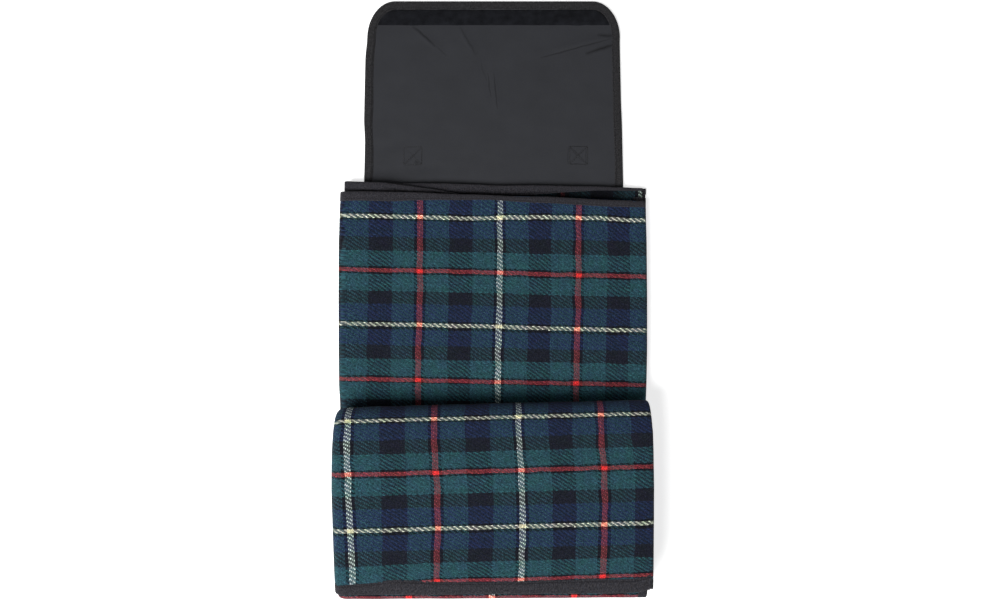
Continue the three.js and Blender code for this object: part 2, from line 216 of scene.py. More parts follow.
def place(level, station, offset, y):
    """Points of the blanket, as an array of x, y, z."""
    station, offset, y = np.broadcast_arrays(*(np.asarray(v, float) for v in (station, offset, y)))
    name = level["name"]
    if name in ("flat", "turn"):
        pitch = FLAT_PITCH + (BUNDLE_PITCH - FLAT_PITCH) * smooth(TURN_START, TURN_END, y)
    else:
        pitch = BUNDLE_PITCH + 0 * y
    x, z, normal_x, normal_z = spiral(station, pitch)
    x, z = x + offset * normal_x, z + offset * normal_z
    height = 3 * pitch + 2 * LAYER_HALF
    if name == "turn":
        blend = smooth(TURN_START, TURN_END, y)
        both = zip(side_sway("flat", y), side_sway("base", y))
        left_sway, right_sway = (flat * (1 - blend) + base * blend for flat, base in both)
    else:
        left_sway, right_sway = side_sway(name, y)
    x = x - left_sway * smooth(110, 172, -x) + right_sway * smooth(110, 172, x)
    if name == "top":  # the loose top of the bundle sinks a little towards its edges
        sink = 1.3 * smooth(-288, -318, y) + 3.2 * smooth(-190, -150, y) + 0.8 * smooth(120, 172, abs(x))
        wave = 0.75 * ripple(x, y, 95, 4) + 0.25 * ripple(x, y, 30, 5)
        inside = smooth(-122, -150, y)
        z = z + (z / height) * (wave * inside - sink)
    if name in ("flat", "turn"):
        wave = 0.5 * ripple(x, y, 90, 7) + 0.2 * ripple(x, y, 28, 8)
        z = z + (z / height) * wave * smooth(TURN_END, TURN_START + 20, y)
    if name == "flat":  # the flap's sewn end lies under the bottom layer and lifts the others
        over_tab = smooth(90, 101, y) * smooth(156, 149, abs(x))
        is_bottom = (station < 1.5) & (z < 4.6)
        z = np.where(is_bottom, z * (1 - over_tab) + over_tab * (4.35 + 0.5 * z), z + 2.2 * over_tab)
    if name == "base":  # the loop tape is let in underneath
        over_tape = smooth(-272, -267, y) * smooth(-238, -243, y) * smooth(118, 113, abs(x))
        z = np.where(z < 1.2, np.maximum(z, 1.0 * over_tape + 0.6 * z * over_tape), z)
    if level.get("upside_down"):
        z = height - z
    return np.stack([x, y, z + level["floor"]], -1)


def low_on_left_fold(over):
    """The next pale line lies low on the left fold."""
    return over + 5.5 * smooth(-158, -168, over)


def bundle_slip(x):
    return np.interp(x, [-172, -155, -66, 24, 112, 170], [1.6, 1.5, -0.6, -1.7, -0.5, 1.4])


def weave(level, station, points):
    """Where a point lies in the cloth's pattern: across the warp and along the weft lines."""
    x, y = points[..., 0], points[..., 1]
    over = across(np.broadcast_to(station, x.shape))
    over = over + 53 * smooth(4.7, 5.8, np.broadcast_to(station, x.shape))  # a slack inner fold
    name = level["name"]
    bottom, top = bottom_fold_centre(x), top_fold_centre(x)
    if name in ("flat", "turn"):
        bow = np.interp(y, [-105, -75, -45, -10, 20, 50, 80], [0.4, 0.1, 0.6, 1.2, 1.0, 0.9, 0.5])
        slip = 1.5 * smooth(30, 110, x) - bow
        wave = smooth(50, 85, y) * np.interp(x, [-150, -20, 20, 60, 120, 150],
                                             [0.3, 0.8, -1.4, -2.4, -2.4, -1.2])
        rise = 0.7 + wave + 0.8 * smooth(0, 60, x) * smooth(60, 20, y) * smooth(-90, -50, y)
        return low_on_left_fold(over) + slip - 5.77 - 0.0127 * y, y + 0.021 * x - 86.65 + rise
    if name == "top":
        crowd = np.interp(x, [-170, -130, -90, -60, -30, 55, 140], [-2.5, -1.5, 1.0, 2.8, 3.0, 2.7, 4.1])
        crowd = crowd * np.clip((-262 - y) / 34, 0, 2) ** 2
        belly = 2.3 * smooth(-130, -205, y) * smooth(-300, -235, y) * smooth(-145, -95, x)
        slip = bundle_slip(x) - belly
        slip = slip + smooth(-255, -300, y) * np.interp(x, [-66, 30, 110], [0.3, 1.0, 1.0])
        slip = slip + 1.7 * smooth(-190, -150, y) * smooth(-135, -155, x)
        slip = slip + 1.3 * smooth(-200, -240, y) * smooth(60, 110, x)
        rise = np.interp(y, [-300, -244, -184, -150], [1.2, 1.8, 0.5, 1.6])
        u = (over - 26.2 + 0.026 * (y + 215)) * WARP_SQUEEZE + slip
        return u, (y + 126.2 - 0.028 * x) * 1.0255 - crowd + rise
    if name == "middle":
        share = (top - y) / (top - bottom)
        slip = bundle_slip(x) * (1 - share)
        u = (over - 26.2 + 14.3 * share + 0.026 * (top + 215) * (1 - share)) * WARP_SQUEEZE + slip
        return u, 58 + 241.6 * share
    share = (y - bottom) / (TURN_END - bottom)
    u = (over - 11.9) * WARP_SQUEEZE * (1 - share) + (low_on_left_fold(over) - 4.08) * share
    return u, 344.6 + 160.05 * share + 0.021 * x * share


# ---------------------------------------------------------------- mesh writing
def quads(index, flipped=False):
    a, b, c, d = index[:-1, :-1], index[:-1, 1:], index[1:, 1:], index[1:, :-1]
    order = (a, d, c, b) if flipped else (a, b, c, d)
    return np.stack(order, -1).reshape(-1, 4)


def write_mesh(name, points, faces, pattern, materials, face_materials=None, sharp=55, turned=False):
    """A mesh object from points in mm. It turns the faces outwards where the mesh is closed."""
    points = np.asarray(points, float) * TO_M
    a, b, c, d = (points[faces[:, k]] for k in range(4))
    volume = np.einsum("ij,ij->i", a, np.cross(b, c)).sum() + np.einsum("ij,ij->i", a, np.cross(c, d)).sum()
    if (volume < 0) != turned:
        faces = faces[:, ::-1]
    mesh = bpy.data.meshes.new(name)
    mesh.from_pydata(points.tolist(), [], faces.tolist())
    mesh.polygons.foreach_set("use_smooth", np.ones(len(faces), bool))
    mesh.set_sharp_from_angle(angle=math.radians(sharp))
    attribute = mesh.attributes.new("weave", "FLOAT_VECTOR", "POINT")
    attribute.data.foreach_set("vector", np.asarray(pattern, np.float32).ravel())
    for material in materials:
        mesh.materials.append(material)
    if face_materials is not None:
        mesh.polygons.foreach_set("material_index", np.asarray(face_materials, np.int32))
    mesh.update()
    obj = bpy.data.objects.new(name, mesh)
    bpy.context.scene.collection.objects.link(obj)
    return obj


def shell(name, outer, inner, pattern, materials, sharp=55):
    """A closed sheet between two grids of points. The second material, if any, is on the inner side."""
    rows, columns = outer.shape[:2]
    o = np.arange(rows * columns).reshape(rows, columns)
    i = o + rows * columns
    border = []
    for strip in ((o[0], i[0]), (i[-1], o[-1]), (i[:, 0], o[:, 0]), (o[:, -1], i[:, -1])):
        border.append(quads(np.stack(strip)))
    groups = [quads(o, True), quads(i), *border]
    faces = np.concatenate(groups)
    of_material = np.zeros(len(faces), int)
    if len(materials) > 1:
        of_material[len(groups[0]):len(groups[0]) + len(groups[1])] = 1
    points = np.concatenate([outer.reshape(-1, 3), inner.reshape(-1, 3)])
    # a third pattern value, where given, is a painted shade amount; elsewhere there is none
    deep = pattern[2] if len(pattern) > 2 else 0 * pattern[0]
    pattern = np.stack([pattern[0], pattern[1], deep], -1).reshape(-1, 3)
    return write_mesh(name, points, faces, np.concatenate([pattern, pattern]), materials, of_material, sharp)


# ---------------------------------------------------------------- materials
def linear(red, green, blue):
    def channel(v):
        v /= 255
        return v / 12.92 if v <= 0.04045 else ((v + 0.055) / 1.055) ** 2.4
    return (channel(red), channel(green), channel(blue), 1.0)


class Shader:
    """Short forms for building a node tree."""

    def __init__(self, name, roughness=0.9, sheen=0.0, sheen_roughness=0.5, specular=0.3):
        self.material = bpy.data.materials.new(name)
        self.material.use_nodes = True
        self.tree = self.material.node_tree
        self.surface = self.tree.nodes["Principled BSDF"]
        self.surface.inputs["Roughness"].default_value = roughness
        self.surface.inputs["Sheen Weight"].default_value = sheen
        self.surface.inputs["Sheen Roughness"].default_value = sheen_roughness
        self.surface.inputs["Specular IOR Level"].default_value = specular
        pattern = self.node("ShaderNodeAttribute")
        pattern.attribute_name = "weave"
        self.pattern = pattern.outputs["Vector"]
        split = self.node("ShaderNodeSeparateXYZ")
        self.link(self.pattern, split.inputs[0])
        # deep, the third value of the weave attribute, is a painted shade amount
        self.u, self.v, self.deep = split.outputs

    def node(self, kind):
        return self.tree.nodes.new(kind)

    def link(self, value, socket):
        if isinstance(value, bpy.types.NodeSocket):
            self.tree.links.new(value, socket)
        else:
            socket.default_value = value

    def math(self, operation, *values):
        node = self.node("ShaderNodeMath")
        node.operation = operation
        for value, socket in zip(values, node.inputs):
            self.link(value, socket)
        return node.outputs[0]

    def add(self, a, b):
        return self.math("ADD", a, b)

    def times(self, a, b):
        return self.math("MULTIPLY", a, b)

    def wave(self, value, length):
        return self.math("SINE", self.times(value, 2 * math.pi / length))

    def grain(self, colour, *noise):
        """The colour, clouded by a noise."""
        return self.shade(colour, self.noise(self.pattern, *noise))

    def mix(self, factor, a, b, way="MIX"):
        node = self.node("ShaderNodeMix")
        node.data_type = "RGBA"
        node.blend_type = way
        node.clamp_factor = True
        self.link(factor, node.inputs[0])
        self.link(a, node.inputs[6])
        self.link(b, node.inputs[7])
        return node.outputs[2]

    def shade(self, colour, amount):
        """The colour times a grey amount."""
        grey = self.node("ShaderNodeCombineColor")
        for k in range(3):
            self.link(amount, grey.inputs[k])
        return self.mix(1.0, colour, grey.outputs[0], "MULTIPLY")

    def noise(self, vector, scale, detail=2.0, low=0.0, high=1.0):
        node = self.node("ShaderNodeTexNoise")
        self.link(vector, node.inputs["Vector"])
        node.inputs["Scale"].default_value = scale
        node.inputs["Detail"].default_value = detail
        return self.span(node.outputs["Fac"], 0.25, 0.75, low, high)

    def dice(self, number, low, high):
        """A steady random value for each whole number."""
        node = self.node("ShaderNodeTexWhiteNoise")
        node.noise_dimensions = "1D"
        self.link(number, node.inputs["W"])
        return self.span(node.outputs["Value"], 0, 1, low, high)

    def span(self, value, from_low, from_high, low, high):
        node = self.node("ShaderNodeMapRange")
        for amount, socket in zip((value, from_low, from_high, low, high), node.inputs):
            self.link(amount, socket)
        return node.outputs[0]

    def ramp(self, value, stops):
        """Stripes: stops are (start, colour), each holding up to the next."""
        node = self.node("ShaderNodeValToRGB")
        node.color_ramp.interpolation = "CONSTANT"
        elements = node.color_ramp.elements
        elements[0].position, elements[0].color = stops[0]
        elements[1].position, elements[1].color = stops[1]
        for start, colour in stops[2:]:
            element = elements.new(start)
            element.color = colour
        self.link(value, node.inputs[0])
        return node.outputs

    def between(self, factor, a, b):
        """A number from a to b."""
        node = self.node("ShaderNodeMix")
        self.link(factor, node.inputs[0])
        self.link(a, node.inputs[2])
        self.link(b, node.inputs[3])
        return node.outputs[0]

    def finish(self, colour, height=None, depth=0.0002, strength=0.6, roughness=None):
        self.link(colour, self.surface.inputs["Base Color"])
        if roughness is not None:
            self.link(roughness, self.surface.inputs["Roughness"])
        if height is not None:
            bump = self.node("ShaderNodeBump")
            bump.inputs["Strength"].default_value = strength
            bump.inputs["Distance"].default_value = depth
            self.link(height, bump.inputs["Height"])
            self.link(bump.outputs[0], self.surface.inputs["Normal"])
        return self.material


def yarn(red, green, blue, line=0.0):
    """A yarn's colour; the fourth value marks the lines' yarns, pale 1.0 and red 0.6."""
    return linear(red, green, blue)[:3] + (line,)


def stripes(repeat, bands):
    stops, at = [], 0.0
    for width, colour in bands:
        stops.append((at / repeat, colour))
        at += width
    return stops


def tartan():
    """Twill of coloured yarns, two over and two under, with the sett's lines, a napped face and painted
    shade.
    """
    teal, black_warp, dark_warp = yarn(38, 66, 76), yarn(23, 27, 40), yarn(14, 15, 26)
    green, blue = yarn(41, 82, 90), yarn(31, 46, 78)
    black_weft, dark_weft = yarn(24, 28, 35), yarn(8, 11, 13)
    pale_warp, red_warp = yarn(190, 206, 202, 1.0), yarn(134, 58, 64, 0.6)
    pale_weft, red_weft = yarn(222, 228, 208, 1.0), yarn(160, 62, 66, 0.6)
    warp = stripes(WARP_REPEAT, [
        (3.0, pale_warp), (3.4, dark_warp), (25.1, teal), (24.7, black_warp), (25.1, teal), (3.4, dark_warp),
        (6.0, red_warp), (3.4, dark_warp), (25.1, teal), (24.7, black_warp), (25.1, teal), (3.4, dark_warp),
        (3.0, pale_warp)])
    weft = stripes(WEFT_REPEAT, [
        (2.35, pale_weft), (2.0, dark_weft), (18.4, blue), (15.0, black_weft), (18.5, green),
        (1.9, dark_weft), (4.3, red_weft), (1.9, dark_weft), (18.5, green), (15.0, black_weft), (18.4, blue),
        (2.0, dark_weft), (2.35, pale_weft)])
    s = Shader("tartan_twill", roughness=0.95, sheen=0.05, sheen_roughness=0.6, specular=0.04)
    # the yarns wander a little, more along their length than across it
    wander_u = s.noise(s.pattern, 0.045, 1.0, -0.9, 0.9)
    wander_v = s.noise(s.pattern, 0.06, 1.0, -0.6, 0.6)
    fine_u = s.noise(s.pattern, 0.4, 1.0, -0.3, 0.3)
    u = s.times(s.add(s.add(s.u, wander_u), fine_u), 1 / WARP_PITCH)
    v = s.times(s.add(s.add(s.v, wander_v), s.times(fine_u, 0.8)), 1 / WEFT_PITCH)
    warp_yarn, weft_yarn = s.math("FLOOR", u), s.math("FLOOR", v)

    def colour_of(yarn, pitch, repeat, stops):
        where = s.math("FRACT", s.times(s.add(yarn, 0.5), pitch / repeat))
        return s.ramp(where, stops)

    warp_colour, warp_line = colour_of(warp_yarn, WARP_PITCH, WARP_REPEAT, warp)
    weft_colour, weft_line = colour_of(weft_yarn, WEFT_PITCH, WEFT_REPEAT, weft)
    # where a float starts and ends: four steps, two with the warp on top
    warp_step = s.math("FLOORED_MODULO", s.add(warp_yarn, v), 4.0)
    weft_step = s.math("FLOORED_MODULO", s.add(weft_yarn, u), 4.0)
    whole_step = s.math("FLOORED_MODULO", s.add(warp_yarn, weft_yarn), 4.0)
    weft_up = s.math("GREATER_THAN", whole_step, 1.5)

    def hump(value, centre, half):
        away = s.times(s.add(value, -centre), 1 / half)
        return s.math("SUBTRACT", 1.0, s.times(away, away))

    warp_round = hump(s.math("FRACT", u), 0.5, 0.62)
    weft_round = hump(s.math("FRACT", v), 0.5, 0.62)
    warp_height = s.times(warp_round, s.span(hump(warp_step, 1.0, 1.25), 0, 1, 0.35, 1))
    weft_height = s.times(weft_round, s.span(hump(weft_step, 3.0, 1.25), 0, 1, 0.35, 1))
    pick = s.mix(weft_up, s.shade(warp_colour, s.dice(warp_yarn, 0.84, 1.16)),
                 s.shade(weft_colour, s.dice(s.add(weft_yarn, 0.37), 0.84, 1.16)))
    height = s.between(weft_up, warp_height, weft_height)
    lined = s.math("MAXIMUM", warp_line, weft_line)
    # whether a line's yarn is on top
    line = s.math("GREATER_THAN", s.between(weft_up, warp_line, weft_line), 0.1)
    crossed = s.times(s.math("GREATER_THAN", lined, 0.1), s.add(1.0, s.times(line, -1.0)))
    # between the floats the yarns beneath show
    beneath = s.mix(weft_up, weft_colour, warp_colour)
    covers = s.span(height, s.span(line, 0, 1, 0.2, 0.48), s.span(line, 0, 1, 0.72, 0.84), 0, 1)
    veil = s.times(crossed, s.span(lined, 0.6, 1.0, 0.45, 0.1))
    woven = s.mix(s.add(s.math("MAXIMUM", covers, crossed), s.times(veil, -1.0)), beneath, pick)
    # nap: fibres that cross from one yarn to the next, and mottling where it is worn
    crossing = s.mix(0.5, warp_colour, weft_colour)
    nap = s.times(s.noise(s.pattern, 0.55, 3.0, 0.0, 0.36), s.span(lined, 0, 1, 1.0, 0.3))
    napped = s.mix(nap, woven, crossing)
    # painted shade: each float lighter on its crown and darker towards its edges and ends, more so on the
    # lines' yarns; ground yarns crossing a line are darkened a little more
    darkest_shade = s.span(line, 0, 1, 0.55, s.span(lined, 0.6, 1.0, 0.42, 0.25))
    shaded = s.shade(napped, s.times(s.span(height, 0, 1, darkest_shade, 1.25), s.span(crossed, 0, 1, 1.0, 0.85)))
    mottled = s.grain(shaded, 0.16, 4.0, 0.8, 1.18)
    mottled = s.grain(mottled, 0.42, 1.0, 0.66, 1.34)
    fibres = s.grain(mottled, 0.8, 2.0, 0.24, 1.76)
    # dye that took unevenly, and two coloured lines deepening each other where they cross
    tint = s.mix(s.noise(s.pattern, 0.09, 3.0, 0.0, 1.0), linear(240, 255, 236), linear(255, 236, 255))
    dyed = s.mix(1.0, fibres, tint, "MULTIPLY")
    both = s.times(warp_line, weft_line)
    deeper = s.mix(s.span(both, 0.36, 1.0, 0, 1), (2.9, 0.85, 0.75, 1.0), (1.3, 1.15, 0.85, 1.0))
    dyed = s.mix(s.math("GREATER_THAN", both, 0.1), dyed, s.mix(1.0, dyed, deeper, "MULTIPLY"))
    lint = s.math("GREATER_THAN", s.noise(s.pattern, 1.3, 2.0, 0.0, 1.0), 0.985)
    colour = s.mix(s.times(lint, 0.25), dyed, linear(130, 132, 132))
    bloom = s.span(s.noise(s.pattern, 0.75, 2.0, 0.0, 1.0), 0.5, 0.95, 0, 0.06)
    colour = s.mix(bloom, colour, linear(132, 132, 140))
    # painted shadow: the third pattern value darkens the cloth in the deep wedge beside the top layer's hem
    # edge
    colour = s.shade(colour, s.span(s.deep, 0, 1, 1, 0.1))
    relief = s.add(height, s.noise(s.pattern, 1.8, 3.0, -0.25, 0.25))
    return s.finish(colour, relief, depth=0.00045, strength=0.6)


def ribbed_tape(name, base, rib, stitch_from_edge, specks=0.3):
    """Woven edge tape: cross ribs, selvedges and a row of lock stitches along the inner edge."""
    s = Shader(name, roughness=0.92, sheen=0.06, sheen_roughness=0.5, specular=0.08)
    u = s.add(s.u, s.noise(s.pattern, 0.25, 1.0, -0.25, 0.25))
    ribs = s.wave(u, rib)
    cross = s.wave(s.v, 0.9)
    height = s.add(s.times(ribs, 0.5), s.times(cross, 0.28))
    # painted shade: lighter on the crests of the ribs and cross threads, darker in the hollows between
    tone = s.span(height, -0.8, 0.8, 0.6, 1.3)
    colour = s.shade(linear(*base), tone)
    colour = s.grain(colour, 0.32, 4.0, 0.6, 1.4)
    colour = s.grain(colour, 0.75, 2.0, 0.4, 1.6)
    speckle = s.noise(s.pattern, 0.8, 3.0, 0.0, 1.0)
    colour = s.mix(s.times(s.times(speckle, speckle), specks), colour, linear(112, 104, 104))
    # painted shadow: the third pattern value darkens the tape where it lies just beside the top layer's hem
    # edge
    colour = s.shade(colour, s.span(s.deep, 0, 1, 1, 0.08))
    # stitches: short dashes, a little sunk between them
    near = s.math("LESS_THAN", s.math("ABSOLUTE", s.add(s.math("ABSOLUTE", s.v), -stitch_from_edge)), 0.38)
    dash = s.math("LESS_THAN", s.math("FRACT", s.times(s.u, 1 / 2.9)), 0.8)
    stitch = s.times(near, dash)
    colour = s.mix(s.times(stitch, 0.6), colour, linear(24, 24, 28))
    relief = s.add(height, s.times(s.add(s.times(stitch, 1.3), s.times(near, -1.6)), 1.0))
    return s.finish(colour, relief, depth=0.00022, strength=0.6)


def coated_cloth(name, base, pitch, roughness, specular, tone=(0.93, 1.07), crease_and_shadow_lines=()):
    """Plain woven nylon with a coating: a fine square weave, soft clouding and pressed-in folds; painted
    shade lies along each fold and on the threads.
    """
    s = Shader(name, roughness=roughness, sheen=0.05, specular=specular)
    threads_u = s.wave(s.u, pitch)
    threads_v = s.wave(s.v, pitch)
    height = s.times(s.add(threads_u, threads_v), 0.5)
    # painted shade: the threads a little lighter on their crowns, darker between
    colour = s.shade(linear(*base), s.span(height, -1, 1, 0.95, 1.05))
    colour = s.grain(colour, 0.03, 3.0, tone[0], tone[1])
    colour = s.grain(colour, 0.9, 3.0, 0.93, 1.07)
    wander = s.noise(s.pattern, 0.08, 1.0, -0.7, 0.7)
    for (ax, ay), (bx, by), depth, width in crease_and_shadow_lines:
        from_x, from_y = s.add(s.add(s.u, wander), -ax), s.add(s.add(s.v, wander), -ay)
        dx, dy = bx - ax, by - ay
        along = s.add(s.times(from_x, dx), s.times(from_y, dy))
        t = s.span(along, 0, dx * dx + dy * dy, 0, 1)
        off_x, off_y = s.add(from_x, s.times(t, -dx)), s.add(from_y, s.times(t, -dy))
        away = s.math("SQRT", s.add(s.times(off_x, off_x), s.times(off_y, off_y)))
        near = s.span(away, 0, 2 * width, 1, 0)
        press = s.times(s.times(near, near), s.math("SQRT", s.times(t, s.span(t, 0, 1, 1, 0))))
        height = s.add(height, s.times(press, -depth / 0.06))
        # painted shade along each fold, darker for the deeper ones
        colour = s.shade(colour, s.span(press, 0, 0.5, 1, 1 - 0.62 * min(depth, 1.3)))
    rough = s.noise(s.pattern, 0.08, 3.0, roughness - 0.06, roughness + 0.06)
    return s.finish(colour, height, depth=0.00006, strength=0.6, roughness=rough)


def fuzzy_tape(name, base, tuft):
    """Hook or loop tape: small tufts in rows, flattened in patches."""
    s = Shader(name, roughness=0.95, sheen=0.06, sheen_roughness=0.4, specular=0.06)
    rows = s.times(s.wave(s.u, tuft), s.wave(s.v, tuft))
    fuzz = s.noise(s.pattern, 1.6, 4.0, -1, 1)
    height = s.add(s.times(rows, 0.5), s.times(fuzz, 0.6))
    # painted shade: tufts lighter on top and darker between the rows, clouded at random by the fuzz
    colour = s.shade(linear(*base), s.span(height, -1, 1, 0.6, 1.4))
    colour = s.grain(colour, 0.11, 3.0, 0.6, 1.4)
    return s.finish(colour, height, depth=0.0005, strength=0.7)


def fleece(name, base):
    s = Shader(name, roughness=1.0, sheen=0.2, specular=0.1)
    cloud = s.noise(s.pattern, 0.35, 4.0, 0.85, 1.1)
    fibre = s.noise(s.pattern, 2.2, 3.0, 0, 1)
    colour = s.shade(s.shade(linear(*base), cloud), s.span(fibre, 0, 1, 0.88, 1.08))
    return s.finish(colour, fibre, depth=0.0006, strength=0.5)


def webbing_weave(name, base):
    """Belt webbing: a chevron of thick yarns along its length."""
    s = Shader(name, roughness=0.8, sheen=0.1, specular=0.3)
    lane = s.math("PINGPONG", s.v, 2.5)
    wave = s.wave(s.add(s.u, s.times(lane, 1.2)), 1.6)
    rows = s.wave(s.v, 1.25)
    height = s.add(s.times(wave, 0.6), s.times(rows, 0.4))
    # painted shade: the chevron's ridges lighter, the hollows between darker
    colour = s.shade(linear(*base), s.span(height, -1, 1, 0.7, 1.25))
    colour = s.grain(colour, 0.4, 3.0, 0.88, 1.12)
    return s.finish(colour, height, depth=0.0003, strength=0.7)


def thread(name, base):
    s = Shader(name, roughness=0.6, sheen=0.1, specular=0.4)
    twist = s.wave(s.add(s.u, s.v), 0.5)
    # painted shade: each twist lighter on its crown, darker where it turns in
    colour = s.shade(linear(*base), s.span(twist, -1, 1, 0.75, 1.25))
    return s.finish(colour, twist, depth=0.00008, strength=0.5)


TARTAN = tartan()
HEM_TAPE = ribbed_tape("binding_ribbed", (39, 40, 46), 1.5, 8.3)
FLAP_TAPE_LOOK = ribbed_tape("flap_binding_ribbed", (39, 40, 42), 1.2, 7.9, 0.2)
LINING_CREASES_AND_SHADOWS = [  # from, to, depth, half width: sharp folds pressed into the lining, each with painted shade along it
    ((-91, 303), (-64, 280), 1.0, 1.7), ((-64, 281), (-52, 269), 0.35, 1.2),
    ((-38, 303), (-19, 270), 0.6, 1.9),
    ((-14, 262), (-8, 240), 0.3, 1.0), ((-7, 250), (-3, 222), 0.6, 0.8), ((0, 250), (5, 209), 0.7, 0.8),
    ((52, 267), (133, 289), 0.9, 0.9), ((103, 272), (137, 282), 1.2, 2.0), ((116, 293), (140, 291), 0.9, 2.2),
    # the two wide, shallow ones at the left: mostly a soft painted shadow
    ((-140, 141), (-98, 170), 0.16, 9.0), ((-138, 136), (-50, 138), 0.16, 8.0),
    ((84, 168), (104, 168), 0.5, 0.8), ((84, 148), (104, 148), 0.5, 0.8),  # where stitching pulls it down
    ((84, 148), (84, 168), 0.5, 0.8), ((104, 148), (104, 168), 0.5, 0.8),
    ((84, 148), (104, 168), 0.4, 0.8), ((84, 168), (104, 148), 0.4, 0.8),
    ((-100, 147), (-80, 167), 0.5, 0.8), ((-100, 147), (-100, 167), 0.3, 0.8),
    ((-100, 167), (-80, 167), 0.3, 0.8), ((-80, 147), (-80, 167), 0.4, 0.8),
    ((-100, 147), (-80, 147), 0.3, 0.8), ((-88, 152), (-84, 149), 0.7, 2.5),
]
LINING = coated_cloth("flap_lining_nylon", (49, 50, 54), 0.75, 0.62, 0.15, crease_and_shadow_lines=LINING_CREASES_AND_SHADOWS)
OUTER = coated_cloth("flap_outer_nylon", (40, 42, 46), 0.9, 0.7, 0.3)
BACKING_FILM = coated_cloth("backing_coated", (33, 34, 38), 1.1, 0.5, 0.4)
WADDING_LOOK = fleece("wadding_fleece", (196, 192, 182))
FOAM = fleece("flap_foam", (52, 54, 58))
HOOKS = fuzzy_tape("hook_tape_fuzz", (27, 28, 32), 1.5)
LOOPS = fuzzy_tape("loop_tape_fuzz", (36, 36, 40), 1.1)
WEBBING = webbing_weave("handle_webbing_weave", (30, 30, 33))
THREAD = thread("sewing_thread", (21, 21, 24))


# ---------------------------------------------------------------- settling pieces: hiding the parts they replace, then parenting or baking them
def settle(piece, body=None, blend=None, replaces=()):
    if replaces:
        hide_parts(*replaces)
    if blend:
        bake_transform(piece)
    else:
        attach(piece, body)
    return piece


# ---------------------------------------------------------------- blanket sheets
def stations(counts):
    parts = [np.linspace(k, k + 1, counts[k] + 1)[:-1] for k in range(7)]
    return np.concatenate([*parts, [7.0]])


OUTER_RUN = OUTER_HEM_X - fold_centres(MEAN_PITCH)[0]
INNER_RUN = INNER_HEM_X - fold_centres(MEAN_PITCH)[0]
EDGE_BAND = 22.0  # where the closer stations of a side edge end
EDGE_STEPS = np.array([0.6, 3, 7, 9.6, 10.6, 13, 18])


def cloth_stations(counts):
    """Stations over the whole spiral, closer together at the two bound side edges."""
    inner = stations(counts)
    inner = inner[(inner > EDGE_BAND / OUTER_RUN) & (inner < 7 - EDGE_BAND / INNER_RUN)]
    return np.concatenate([EDGE_STEPS / OUTER_RUN, inner, (7 - EDGE_STEPS / INNER_RUN)[::-1]])


def from_side_edge(station):
    return np.minimum(station * OUTER_RUN, (7 - station) * INNER_RUN)


def face_offset(from_edge):
    """The face's offset: pressed down near a bound edge."""
    return PRESSED + (FACE - PRESSED) * smooth(9.8, 13.5, from_edge)


def edge_stations(which, d):
    """Stations of the outer and inner side of a tape, at distances d from a free side edge."""
    inner_d = np.where(d < 9.5, d + 0.32, d)
    return tuple(v / OUTER_RUN if which == "outer" else 7 - v / INNER_RUN for v in (d, inner_d))


def rows(level, station, count, inset):
    """y for a grid of rows, closer together at the hem where the level has one."""
    x = spiral(station, BUNDLE_PITCH)[0]
    foot, head = level["foot"](station, x), level["head"](station, x)
    hem = level.get("hem")
    t = np.linspace(0, 1, count)[:, None]
    if not hem:
        return foot + (head - foot) * t, np.full((count, len(station)), 1e3)
    near = np.array([inset, 3, 7, 9.6, 10.6, 13])[:, None]
    far = 13 + (abs(head - foot) - 13) * t[1:]
    depth = np.concatenate([near + 0 * far[:1], far])
    return (head - depth if hem == "head" else foot + depth), depth


def cloth(level, kind, count, counts, material, name):
    station = cloth_stations(counts)
    y, from_hem = rows(level, station, count, 0.6)
    s = np.broadcast_to(station, y.shape)
    if kind == "face":
        top, bottom = face_offset(np.minimum(from_hem, from_side_edge(s))), FACE_BACK
    else:
        top, bottom = kind
    outer, inner = place(level, s, top, y), place(level, s, bottom, y)
    pattern = weave(level, s, outer)
    # painted shadow: the third layer darkened in the wedge beside the top layer's hem edge, less towards the
    # open right end
    if level["name"] == "flat":
        open_end_shade = 1 - 0.65 * smooth(135, 150, outer[..., 0])
        pattern += (0.85 * smooth(-3, 0, y - shown_edge(outer[..., 0])) * (s > 5.5) * open_end_shade,)
    return shell(name, outer, inner, pattern, [material])


FACE_COUNTS = [34, 14, 58, 10, 24, 6, 24]
COARSE_COUNTS = [16, 8, 16, 6, 12, 5, 12]


def side_tape(level, which, name, count):
    """Tape folded over one of the two free side edges."""
    d = np.array([10.2, 9.9, 7, 3.5, 1.2, 0.35, 0.0, 0.0, 0.35, 1.2, 3.5, 7, 9.9, 10.2])
    o = np.array([1.62, 1.9, 1.95, 1.98, 1.9, 1.5, 0.7, -0.7, -1.5, -1.9, -1.98, -1.95, -1.9, -1.62])
    station, inner_station = edge_stations(which, d)
    y, depth = rows(level, station, count, TAPE_WIDTH + 0.3)
    if level.get("hem"):
        y, depth = y[4:], depth[4:]
    s = np.broadcast_to(station, y.shape)
    outer = place(level, s, o, y)
    inner = place(level, np.broadcast_to(inner_station, y.shape), o * TAPE_INNER, y)
    pattern = (y + 0 * s, np.broadcast_to(np.sign(o) * d, y.shape))
    return shell(name, outer, inner, pattern, [HEM_TAPE], sharp=70)


